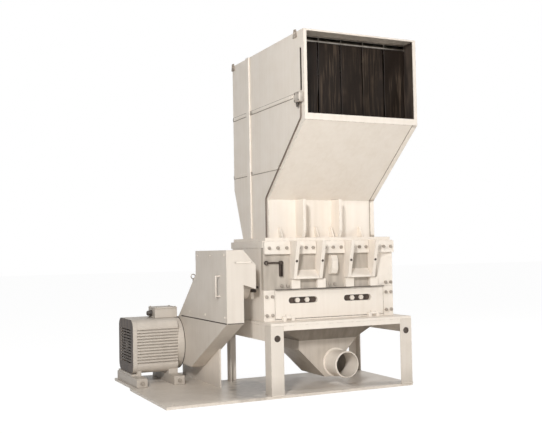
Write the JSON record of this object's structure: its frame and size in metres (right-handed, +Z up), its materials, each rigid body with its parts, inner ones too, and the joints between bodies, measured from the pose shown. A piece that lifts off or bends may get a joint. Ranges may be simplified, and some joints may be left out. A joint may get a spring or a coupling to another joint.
{
  "type": "industrial_disintegrator",
  "caption": "Floor-standing knife-rotor disintegrator with a tall tilting feed hopper, rubber curtain, belt-drive guard, side motor and a discharge pipe under its stand",
  "frame": {"origin": "On the floor, straight below the middle of the rotor.", "axes": "+X runs to the right along the front, +Y to the rear, +Z up."},
  "size_m": [2.091, 1.892, 2.682],
  "materials": {
    "cream_paint": "satin",
    "machined_steel": "machined",
    "cast_iron": "cast",
    "black_rubber": "matte",
    "dark_plastic": "moulded"
  },
  "bodies": {
    "machine": {"base_plate": "cream_paint", "bearing_housings": "cream_paint", "bed_knives": "machined_steel", "chamber_bolts": "machined_steel", "chamber_front_frame": "cream_paint", "chamber_left_side": "cream_paint", "chamber_rear_wall": "cream_paint", "chamber_right_side": "cream_paint", "chamber_top_flange": "cream_paint", "discharge_chute": "cream_paint", "door_hinges": "cream_paint", "front_brackets": "cream_paint", "front_clamp_bars": "cream_paint", "guard_support": "cream_paint", "hopper_hinge_brackets": "machined_steel", "lower_belt_guard": "cream_paint", "motor_end_shields": "cream_paint", "motor_fan_cowl": "cream_paint", "motor_frame": "cream_paint", "motor_slide_rails": "cream_paint", "outlet_pipe": "cream_paint", "screen": "machined_steel", "screen_cradle": "cream_paint", "shaft_bearings": "machined_steel", "stand_legs": "cream_paint", "stand_rails": "cream_paint", "stand_table": "cream_paint", "terminal_box": "cream_paint", "terminal_box_lid": "cream_paint", "v_belts": "black_rubber"},
    "rotor": {"rotor_shaft": "machined_steel", "rotor_core": "cast_iron", "fly_knives": "machined_steel", "fly_knife_bolts": "machined_steel", "driven_pulley": "cast_iron"},
    "motor_spindle": {"motor_rotor": "machined_steel", "drive_pulley": "cast_iron", "cooling_fan": "dark_plastic"},
    "hopper": {"hopper_left_side": "cream_paint", "hopper_right_side": "cream_paint", "hopper_front_panels": "cream_paint", "hopper_rear_panels": "cream_paint", "hopper_top": "cream_paint", "mouth_frame": "cream_paint", "hopper_base_flange": "cream_paint", "hopper_stiffeners": "cream_paint", "throat_gussets": "cream_paint", "interlock_switch": "dark_plastic", "switch_conduit": "dark_plastic", "curtain_rail": "cream_paint"},
    "door": {"screen_door": "cream_paint", "door_clamp_plates": "machined_steel"},
    "lever": {"clamp_lever": "machined_steel"},
    "knob": {"side_knob": "dark_plastic"},
    "belt_cover": {"upper_belt_guard": "cream_paint"},
    "strip_1": {"curtain_strip_1": "black_rubber"},
    "strip_2": {"curtain_strip_2": "black_rubber"},
    "strip_3": {"curtain_strip_3": "black_rubber"},
    "strip_4": {"curtain_strip_4": "black_rubber"},
    "strip_5": {"curtain_strip_5": "black_rubber"}
  },
  "joints": [
    {"name": "rotor_spin", "type": "hinge", "parent": "machine", "child": "rotor", "pos_m": [0, 0, 0.83], "axis": [1, 0, 0], "continuous": true},
    {"name": "motor_spin", "type": "hinge", "parent": "machine", "child": "motor_spindle", "pos_m": [-1.1, 0.796, 0.325], "axis": [1, 0, 0], "continuous": true},
    {"name": "hopper_tilt", "type": "hinge", "parent": "machine", "child": "hopper", "pos_m": [0, 0.345, 1.18], "axis": [-1, 0, 0], "range_deg": [0, 60]},
    {"name": "door_swing", "type": "hinge", "parent": "machine", "child": "door", "pos_m": [0, -0.314, 0.575], "axis": [1, 0, 0], "range_deg": [0, 90]},
    {"name": "lever_turn", "type": "hinge", "parent": "machine", "child": "lever", "pos_m": [-0.436, -0.312, 0.995], "axis": [0, 1, 0], "range_deg": [-20, 20]},
    {"name": "knob_turn", "type": "hinge", "parent": "machine", "child": "knob", "pos_m": [-0.604, -0.2, 0.81], "axis": [1, 0, 0], "range_deg": [-90, 90]},
    {"name": "cover_lift", "type": "slide", "parent": "machine", "child": "belt_cover", "axis": [0, 0, 1], "range_m": [0, 0.6]},
    {"name": "strip_swing_1", "type": "hinge", "parent": "hopper", "child": "strip_1", "pos_m": [-0.3792, -0.684, 2.621], "axis": [1, 0, 0], "range_deg": [-8, 70]},
    {"name": "strip_swing_2", "type": "hinge", "parent": "hopper", "child": "strip_2", "pos_m": [-0.1896, -0.684, 2.621], "axis": [1, 0, 0], "range_deg": [-8, 70]},
    {"name": "strip_swing_3", "type": "hinge", "parent": "hopper", "child": "strip_3", "pos_m": [0, -0.684, 2.621], "axis": [1, 0, 0], "range_deg": [-8, 70]},
    {"name": "strip_swing_4", "type": "hinge", "parent": "hopper", "child": "strip_4", "pos_m": [0.1896, -0.684, 2.621], "axis": [1, 0, 0], "range_deg": [-8, 70]},
    {"name": "strip_swing_5", "type": "hinge", "parent": "hopper", "child": "strip_5", "pos_m": [0.3792, -0.684, 2.621], "axis": [1, 0, 0], "range_deg": [-8, 70]}
  ],
  "couplings": [
    {"joint": "motor_spin", "follows": "rotor_spin", "ratio": 1.92}
  ]
}
